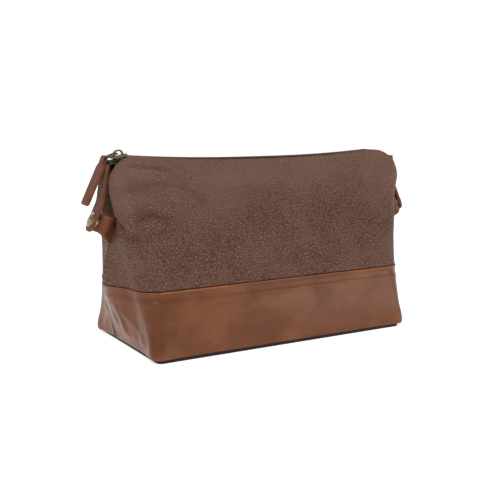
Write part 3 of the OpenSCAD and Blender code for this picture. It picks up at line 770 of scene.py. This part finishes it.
class KITBAG_OT_upper(KitBagOperator, Operator):
    """Make the pebbled upper panels"""

    bl_idname = "kitbag.upper"
    bl_label = "Upper panels"

    def execute(self, context):
        shape = Shape()
        heights = rows_between(shape.seam_height, shape.height, 1.7, (shape.seam_height, shape.height))
        for side, front in (("front", True), ("back", False)):
            outer, normals = shape.outside(heights, front)
            inner = outer - normals * shape.leather
            points, faces = closed_skin(outer, inner)
            piece(f"{side}_pebbled_panel", points, faces, "pebbled_leather", replaces=[f"{side}_upper_panel"])
        return {"FINISHED"}


class KITBAG_OT_bands(KitBagOperator, Operator):
    """Make the smooth lower bands"""

    bl_idname = "kitbag.bands"
    bl_label = "Lower bands"

    def execute(self, context):
        shape = Shape()
        heights = rows_between(shape.base_thickness + 1, shape.seam_height, 1.6, (4, shape.seam_height - 2))
        for side, front in (("front", True), ("back", False)):
            outer, normals = shape.outside(heights, front)
            points, faces = closed_skin(outer, outer - normals * shape.leather)
            # painted highlight: faces within 1 mm of the seam take the paler turned-edge finish
            turned = np.mean(points[np.asarray(faces)][:, :, 2], 1) > shape.seam_height - 1.0
            piece(f"{side}_smooth_band", points, faces, "tan_leather", replaces=[f"{side}_lower_band"],
                  extra=["turned_edge_highlight"], face_finish=turned)
        return {"FINISHED"}


def rounded_plate(half_x, half_y, corner, low, high, roll, name_seed):
    """A flat plate with rounded corners and rolled edges."""
    turns = np.linspace(0, math.pi / 2, 9)
    corners = [(1, 1, 0), (-1, 1, 1), (-1, -1, 2), (1, -1, 3)]
    rings = []
    for inset, z in ((roll, low), (roll * 0.3, low + roll * 0.3), (0, low + roll), (0, high - roll),
                     (roll * 0.3, high - roll * 0.3), (roll, high), (6, high + 0.02), (24, high)):
        ring = []
        r = max(corner - inset, 0.5)
        for sx, sy, quarter in corners:
            for turn in turns:
                angle = turn + quarter * math.pi / 2
                ring.append(
                    (sx * (half_x - inset - r) + r * math.cos(angle), sy * (half_y - inset - r) + r * math.sin(angle), z)
                )
        rings.append(ring)
    rings = np.array(rings)
    rows, cols = rings.shape[:2]
    r, c = np.meshgrid(np.arange(rows - 1), np.arange(cols), indexing="ij")
    a, b = (r * cols + c).ravel(), (r * cols + (c + 1) % cols).ravel()
    faces = [tuple(quad) for quad in np.stack([a, b, b + cols, a + cols], 1)]
    faces += [tuple(range(cols)), tuple(range((rows - 1) * cols, rows * cols))]
    return rings.reshape(-1, 3), faces


class KITBAG_OT_base(KitBagOperator, Operator):
    """Make the dark base leather, and give the board inside its finish"""

    bl_idname = "kitbag.base"
    bl_label = "Base"

    def execute(self, context):
        shape = Shape()
        low, high = (np.array(corner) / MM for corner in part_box("base_panel"))
        # painted shade: the sole's dark edge under the band stands in for the shade beneath it
        points, faces = rounded_plate(high[0], high[1], 5, low[2], high[2] + 1.4, 0.8, 1)
        piece("base_leather_sole", points, faces, "base_leather", replaces=["base_panel"])
        low, high = (np.array(corner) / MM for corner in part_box("base_lining"))
        points, faces = rounded_plate(high[0], high[1], 3, low[2], high[2], 0.2, 2)
        piece("base_lining_cloth", points, faces, "lining", replaces=["base_lining"])
        frame["nodes"]["base_board"].data.materials[0] = material("board")
        return {"FINISHED"}


class KITBAG_OT_lining(KitBagOperator, Operator):
    """Make the cotton lining, the slip pocket and its binding"""

    bl_idname = "kitbag.lining"
    bl_label = "Lining and pocket"

    def execute(self, context):
        shape = Shape()
        heights = rows_between(5.0, shape.height - 14, 3.2)
        for side, front in (("front", True), ("back", False)):
            outer = shape.half(heights, front, 3.6, (12, 6, 48))
            normals = grid_normals(outer) * (1 if front else -1)
            slack = waves(outer, 21 if front else 22, 34, 0.35) - 0.4 + np.minimum(shape.folds(outer, front), 0)
            outer = outer + normals * slack[..., None]
            points, faces = closed_skin(outer, outer - normals * 0.6)
            piece(f"{side}_lining_cloth", points, faces, "lining", replaces=[f"{side}_lining"])
        for name, node, inset, thick, finish in (
            ("pocket_cloth", "slip_pocket", 4.6, 0.6, "lining"),
            ("pocket_bound_edge", "pocket_binding", 5.7, 0.8, "base_leather"),
        ):
            low, high = (np.array(corner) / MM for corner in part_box(node))
            z = np.linspace(low[2], high[2], 24)[:, None]
            x = np.linspace(low[0] + 1, high[0] - 1, 60)[None]
            gape = 0.5 * np.sin(np.linspace(0, math.pi, 60))[None] * ease(60, high[2], z)
            outer = np.stack(np.broadcast_arrays(x, shape.half_depth(z) - inset - gape - 0.3, z), 2)
            inner = outer - np.array([0, thick, 0])
            points, faces = closed_skin(outer, inner)
            piece(name, points, faces, finish, replaces=[node])
        return {"FINISHED"}


def zip_line(shape, along, side=1.0):
    """Place and slope of the zip's middle at a distance from the middle of its straight run."""
    along = np.asarray(along, float)
    radius = np.where(along < 0, 60.0, 34.0)
    past = np.maximum(np.abs(along) - shape.zip_run, 0)
    angle = np.sign(along) * past / radius
    x = shape.top_shift + np.sign(along) * np.minimum(np.abs(along), shape.zip_run) + radius * np.sin(angle)
    z = shape.zip_z - radius * (1 - np.cos(angle))
    return x, z - shape.zip_sag(x), angle


class KITBAG_OT_zip(KitBagOperator, Operator):
    """Make the zip's woven tapes, its teeth, stops and end patches"""

    bl_idname = "kitbag.zip"
    bl_label = "Zip"

    def execute(self, context):
        shape = Shape()
        low, high = (np.array(corner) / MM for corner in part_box("zip_tape_front"))
        teeth_low, teeth_high = (np.array(corner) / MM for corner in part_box("zip_teeth_front"))
        ends = [shape.zip_run + 20.4, shape.zip_run + 16.5]
        along = np.linspace(-ends[0], ends[1], 150)
        x, z, angle = zip_line(shape, along)
        for side, sign in (("front", -1), ("back", 1)):
            flat = np.linspace(1.9, shape.mouth_y - 0.12, 8)
            skirt = np.linspace(0.3, 1, 7)
            rows = []
            for y in flat:
                rows.append(np.stack([x, sign * y + 0 * x, z], 1))
            for t in skirt:
                inside = np.clip(1 - (np.abs(along) - shape.zip_run + 6) / 5, 0, 1)
                drop = 11 * t * inside
                depth = np.interp(drop, [0, 11], [flat[-1], shape.half_depth(shape.height - 13) - 3.0])
                rows.append(np.stack([x, sign * depth, z - drop - 0.05 * t], 1))
            outer = np.array(rows)
            normals = grid_normals(outer) * sign
            points, faces = closed_skin(outer + normals * 0.3, outer - normals * 0.3)
            tape = piece(f"{side}_zip_tape", points, faces, "zip_tape", replaces=[f"zip_tape_{side}"])
            anchor = (0.0, sign * shape.mouth_y * MM, shape.zip_z * MM)
            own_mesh(tape)
            first = (teeth_low[0] - shape.top_shift - 0.2) + (0.0 if sign < 0 else shape.tooth_pitch / 2)
            last = shape.zip_run + 10
            parts = []
            for at in np.arange(-(shape.zip_run + 10), last, shape.tooth_pitch) + (0 if sign < 0 else 1.3):
                parts.append(self.tooth(shape, at, sign))
            points, faces = join(parts)
            teeth = piece(f"{side}_zip_teeth", points, faces, "zip_metal", replaces=[f"zip_teeth_{side}"])
            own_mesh(teeth)
        for node in ("zip_top_stops", "zip_bottom_stop"):
            dress(node, "zip_metal")
        for side, tail in (("left", 3.4), ("right", 0.0)):
            low, high = (np.array(corner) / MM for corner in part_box(f"{side}_zip_end"))
            middle, half = (low + high) / 2, (high - low) / 2
            centres = np.array([[middle[0], 0, mix(low[2], high[2] + tail, t)] for t in np.linspace(0, 1, 14)])
            across = np.tile([0.0, 1, 0], (14, 1))
            normals = np.tile([1.0, 0, 0], (14, 1))
            widths = half[1] - 1.6 * ease(high[2] - 2, high[2] + 4, centres[:, 2])
            points, faces, _ = strip(centres, across, normals, widths, 2 * half[0], CREASED_EDGE)
            piece(f"{side}_zip_end_patch", points, faces, "zip_tape", replaces=[f"{side}_zip_end"])
        return {"FINISHED"}

    def tooth(self, shape, at, sign):
        """One cast tooth: a clamp on the tape's edge and a nub that reaches past the middle."""
        x, z, angle = (float(value) for value in zip_line(shape, at))
        along = np.array([math.cos(angle), 0, -math.sin(angle)])
        up = np.array([math.sin(angle), 0, math.cos(angle)])
        points = []
        sections = [(-3.1, 0.42, 0.85), (-2.9, 0.55, 1.15), (-1.2, 0.55, 1.2), (-0.6, 0.44, 1.0), (0.3, 0.5, 1.0),
                    (0.7, 0.5, 0.95), (0.9, 0.32, 0.6)]
        for y, half_long, half_high in sections:
            for u, w in ((-1, -0.6), (-0.6, -1), (0.6, -1), (1, -0.6), (1, 0.6), (0.6, 1), (-0.6, 1), (-1, 0.6)):
                points.append(
                    np.array([x, 0, z]) + along * u * half_long + up * w * half_high + np.array([0, -sign * y, 0])
                )
        n = 8
        faces = [
            (r * n + k, r * n + (k + 1) % n, (r + 1) * n + (k + 1) % n, (r + 1) * n + k)
            for r in range(len(sections) - 1)
            for k in range(n)
        ]
        faces += [tuple(range(n)), tuple(range((len(sections) - 1) * n, len(sections) * n))]
        return np.array(points), faces


def dress(node, finish):
    """A CAD node keeps its mesh as it is, and gets its finish in its own slots."""
    for slot in frame["nodes"][node].material_slots:
        slot.material = material(finish)


class KITBAG_OT_slider(KitBagOperator, Operator):
    """Finish the slider, its bridge, the link and the snaps in brass"""

    bl_idname = "kitbag.slider"
    bl_label = "Slider and snaps"

    def execute(self, context):
        dress("slider_body", "zip_metal")
        dress("slider_bridge", "zip_metal")
        dress("pull_link", "zip_metal")
        for side in ("left", "right"):
            for part in ("cap", "socket", "stud", "post"):
                dress(f"{side}_snap_{part}", "snap_metal")
        return {"FINISHED"}


class KITBAG_OT_pull(KitBagOperator, Operator):
    """Make the folded leather pull and its stitching"""

    bl_idname = "kitbag.pull"
    bl_label = "Pull"

    def execute(self, context):
        shape = Shape()
        fold = np.array(JOINTS["pull_swing"]["pos_m"], float) / MM
        low, _ = (np.array(corner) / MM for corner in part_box("pull_leather"))
        down, out = lean(25.4)
        layer, bore = 1.5, 0.73
        radius = bore + layer / 2
        long, half, neck = shape.pull_length, shape.pull_width / 2, 2.9
        runs = np.concatenate([np.linspace(long, 3, 40), [2.2, 1.4, 0.7]])
        turns = np.linspace(0, math.pi, 13)[1:-1]
        points, normals, widths = [], [], []

        def width(s):
            shoulder = mix(neck, half, float(ease(2.0, 9.5, s)))
            return shoulder - max(0.0, s - (long - 2.2)) * 0.95

        for s in runs:
            points.append(fold + down * s + out * mix(radius, layer / 2, float(ease(1.5, 6, s))))
            normals.append(out)
            widths.append(width(s))
        for turn in turns:
            way = out * math.cos(turn) - down * math.sin(turn)
            points.append(fold + way * radius)
            normals.append(way)
            widths.append(neck)
        for s in runs[::-1]:
            points.append(fold + down * s - out * mix(radius, layer / 2, float(ease(1.5, 6, s))))
            normals.append(-out)
            widths.append(width(s))
        points, normals = np.array(points), np.array(normals)
        across = np.tile([0.0, 1, 0], (len(points), 1))
        mesh_points, faces, edges = strip(points, across, normals, widths, layer * 0.98, CREASED_EDGE)
        piece("folded_leather_pull", mesh_points, faces, "trim_leather", "zip_pull", replaces=["pull_leather"],
              extra=["trim_edge"], face_finish=edges)
        rows = []
        for face in (1, -1):
            for y in (1, -1):
                path = [fold + down * s + face * out * (layer * 1.0 + 0.02) + np.array([0, y * (width(s) - 1.55), 0])
                        for s in np.linspace(9.0, long - 2.4, 24)]
                rows.append(stitched(path, [face * out] * len(path), 2.3, 1.7, 0.42))
            foot = [fold + down * (long - 1.9) + face * out * (layer * 1.0 + 0.02) + np.array([0, y, 0])
                    for y in np.linspace(-4.0, 4.0, 8)]
            rows.append(stitched(foot, [face * out] * len(foot), 2.3, 1.7, 0.42))
        points, faces = join(rows)
        piece("pull_stitching", points, faces, "thread", "zip_pull")
        return {"FINISHED"}


class KITBAG_OT_straps(KitBagOperator, Operator):
    """Make the end straps of two layers, and their stitching"""

    bl_idname = "kitbag.straps"
    bl_label = "End straps"

    def execute(self, context):
        shape = Shape()
        middle = shape.top_shift
        path, normals, runs = strap_path(shape)
        layer, half = shape.strap_layer, shape.strap_width / 2
        bend = bend_point(shape, "left")
        down_a, _ = lean(UPPER_LEAN)
        down_b, _ = lean(END_LEAN)
        for side in ("left", "right"):
            start = mirrored(bend - down_a * 7, side, middle) * MM
            end = mirrored(bend + down_b * 7, side, middle) * MM
            for name, offset in (("face", 0.5), ("backing", -0.5)):
                centres = mirrored(path + normals * layer * offset, side, middle)
                across = np.tile([0.0, 1, 0], (len(path), 1))
                trim = 1.0 if name == "face" else 0.985
                points, faces, edges = strip(centres, across, flipped(normals, side), strap_widths(runs, half) * trim,
                                             layer * 0.99, CREASED_EDGE)
                strap = piece(f"{side}_strap_{name}_leather", points, faces, "trim_leather", None,
                              replaces=[f"{side}_strap_{name}", f"{side}_strap_end_{name}"],
                              extra=["trim_edge"], face_finish=edges)
                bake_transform(strap)
            rows = []
            inner = strap_widths(runs, half) - 1.75
            keep = (runs < END_LONG - 3.0) & (runs > -UPPER_LONG + 1.5)
            for y in (1, -1):
                line = (path + normals * (layer + 0.02))[keep] + np.stack(
                    [0 * runs[keep], y * inner[keep], 0 * runs[keep]], 1)
                rows.append(stitched(mirrored(line, side, middle), flipped(normals[keep], side), 2.4, 1.75, 0.42))
            points, faces = join(rows)
            thread = piece(f"{side}_strap_stitching", points, faces, "thread", None)
            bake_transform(thread)
        return {"FINISHED"}


class KITBAG_OT_tabs(KitBagOperator, Operator):
    """Make the smooth tabs that the straps snap to, and their stitching"""

    bl_idname = "kitbag.tabs"
    bl_label = "Side tabs"

    def execute(self, context):
        shape = Shape()
        middle = shape.top_shift
        down, out = lean(END_LEAN)
        for side in ("left", "right"):
            low, high = (np.array(corner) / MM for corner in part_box(f"{side}_tab"))
            bend = bend_point(shape, side)
            thick, half_high, past, turn_r = 2.6, 8.0, 2.1, 4.0
            tab_middle = shape.strap_layer + 2.3 + 0.5 + thick / 2
            inner_x = high[0] if side == "left" else 2 * middle - low[0]
            reach = (inner_x - (bend[0] + down[0] * 8.5)) / math.cos(math.radians(END_LEAN)) - tab_middle
            front_y = -shape.strap_width / 2 - past
            turn_at = np.array([tab_middle + turn_r, front_y + turn_r])
            span = tab_middle + reach - turn_at[0]
            slope = math.atan2(-thick / 2 - front_y, span)
            flat = [(turn_at[0] - turn_r, y) for y in np.linspace(shape.strap_width / 2 + past, turn_at[1], 14)]
            bent = [tuple(turn_at - turn_r * np.array([math.cos(a), math.sin(a)]))
                    for a in np.linspace(0, math.pi / 2 + slope, 14)[1:]]
            last = np.array(bent[-1])
            run = span / math.cos(slope) - 0.5
            root = [tuple(last + np.array([math.cos(slope), math.sin(slope)]) * run * t) for t in np.linspace(0, 1, 16)[1:]]
            plan = np.array(flat + bent + root)
            place = bend + down * SNAP_AT + np.outer(plan[:, 0], -out) + np.stack(
                [0 * plan[:, 1], plan[:, 1], 0 * plan[:, 1]], 1)
            steps = np.gradient(place, axis=0)
            steps /= np.linalg.norm(steps, axis=1, keepdims=True)
            normals = np.cross(steps, down)
            normals /= np.linalg.norm(normals, axis=1, keepdims=True)
            share = np.clip((plan[:, 0] - tab_middle) / reach, 0, 1)
            half_highs = half_high + 5.5 * share / 2
            centres = place + np.outer(5.5 * share / 2, down)
            across = np.tile(-down, (len(place), 1))
            points, faces, edges = strip(mirrored(centres, side, middle), flipped(across, side),
                                         flipped(normals, side), half_highs, thick * 0.97, CREASED_EDGE)
            piece(f"{side}_tab_leather", points, faces, "tan_leather", replaces=[f"{side}_tab"],
                  extra=["trim_edge"], face_finish=edges)
            rows = []
            for up in (1, -1):
                for face in (1, -1):
                    line = centres + across * ((half_highs - 2.0) * up)[:, None] + normals * face * (thick / 2 + 0.02)
                    rows.append(stitched(mirrored(line[2:-3], side, middle), flipped(face * normals[2:-3], side),
                                         2.4, 1.75, 0.42))
            points, faces = join(rows)
            piece(f"{side}_tab_stitching", points, faces, "thread")
        return {"FINISHED"}


class KITBAG_OT_stage(KitBagOperator, Operator):
    """Set the floor, the studio light and the camera"""

    bl_idname = "kitbag.stage"
    bl_label = "Stage"

    def execute(self, context):
        scene = context.scene
        mesh = bpy.data.meshes.new("studio_floor")
        far = 6.0
        mesh.from_pydata([(-far, -far, 0), (far, -far, 0), (far, far, 0), (-far, far, 0)], [], [(0, 1, 2, 3)])
        mesh.materials.append(studio_floor(scene.kit_bag_colours.floor))
        floor = bpy.data.objects.new("studio_floor", mesh)
        scene.collection.objects.link(floor)
        for name, place, aim, size, power in (
            ("key", (-0.9, -1.3, 1.5), (0, 0, 0.08), 0.9, 14.0),
            ("fill", (1.25, -1.35, 0.45), (0, 0, 0.06), 0.8, 5.0),
            ("rim", (-0.3, 1.5, 1.3), (0, 0, 0.1), 1.2, 9.0),
        ):
            light = bpy.data.lights.new(name, "AREA")
            light.shape, light.size, light.energy = "DISK", size, power
            lamp = bpy.data.objects.new(name, light)
            way = np.array(place) - np.array(aim)
            lamp.matrix_world = facing(way, place)
            scene.collection.objects.link(lamp)
        world = bpy.data.worlds.new("studio")
        world.use_nodes = True
        tree = world.node_tree
        sky = tree.nodes["Background"]
        way = tree.nodes.new("ShaderNodeTexCoord")
        height = tree.nodes.new("ShaderNodeSeparateXYZ")
        ramp = tree.nodes.new("ShaderNodeValToRGB")
        tree.links.new(way.outputs["Generated"], height.inputs[0])
        tree.links.new(height.outputs["Z"], ramp.inputs[0])
        tree.links.new(ramp.outputs[0], sky.inputs["Color"])
        low, high = ramp.color_ramp.elements
        low.position, low.color = 0.16, (1.02, 1.02, 1.02, 1)
        high.position, high.color = 0.42, (0.34, 0.34, 0.35, 1)
        scene.world = world
        scene.view_settings.view_transform = "Standard"
        camera = bpy.data.objects.new("camera", bpy.data.cameras.new("camera"))
        camera.data.sensor_width, camera.data.lens = 36.0, 60.6
        camera.data.clip_start, camera.data.clip_end = 0.05, 30
        azimuth, elevation = math.radians(-30.41), math.radians(9.23)
        back = np.array([math.sin(azimuth) * math.cos(elevation), -math.cos(azimuth) * math.cos(elevation),
                         math.sin(elevation)])
        camera.matrix_world = facing(back, (-0.3878, -0.6566, 0.19765))
        scene.collection.objects.link(camera)
        scene.camera = camera
        return {"FINISHED"}


def facing(back, place):
    """A level matrix whose +Z points along back."""
    back = np.asarray(back, float) / np.linalg.norm(back)
    right = np.cross([0, 0, 1], back)
    right /= np.linalg.norm(right)
    up = np.cross(back, right)
    matrix = Matrix(np.column_stack([right, up, back]).tolist()).to_4x4()
    matrix.translation = place
    return matrix


class KITBAG_PT_panel(Panel):
    bl_idname = "KITBAG_PT_panel"
    bl_label = "Kit Bag"
    bl_space_type = "VIEW_3D"
    bl_region_type = "UI"
    bl_category = "Kit Bag"

    def draw(self, context):
        for group in (context.scene.kit_bag_sizes, context.scene.kit_bag_colours):
            box = self.layout.box()
            for name in group.__annotations__:
                box.prop(group, name)
        for step in STEPS:
            self.layout.operator(step.bl_idname)


STEPS = (
    KITBAG_OT_stage,
    KITBAG_OT_upper,
    KITBAG_OT_bands,
    KITBAG_OT_base,
    KITBAG_OT_lining,
    KITBAG_OT_zip,
    KITBAG_OT_slider,
    KITBAG_OT_pull,
    KITBAG_OT_straps,
    KITBAG_OT_tabs,
)
CLASSES = (KitBagSizes, KitBagColours, *STEPS, KITBAG_PT_panel)


def register():
    for one in CLASSES:
        bpy.utils.register_class(one)
    bpy.types.Scene.kit_bag_sizes = PointerProperty(type=KitBagSizes)
    bpy.types.Scene.kit_bag_colours = PointerProperty(type=KitBagColours)


def unregister():
    del bpy.types.Scene.kit_bag_colours
    del bpy.types.Scene.kit_bag_sizes
    for one in reversed(CLASSES):
        bpy.utils.unregister_class(one)


def main():
    register()
    for step in STEPS:
        group, name = step.bl_idname.split(".")
        getattr(getattr(bpy.ops, group), name)()


if __name__ == "__main__":
    main()
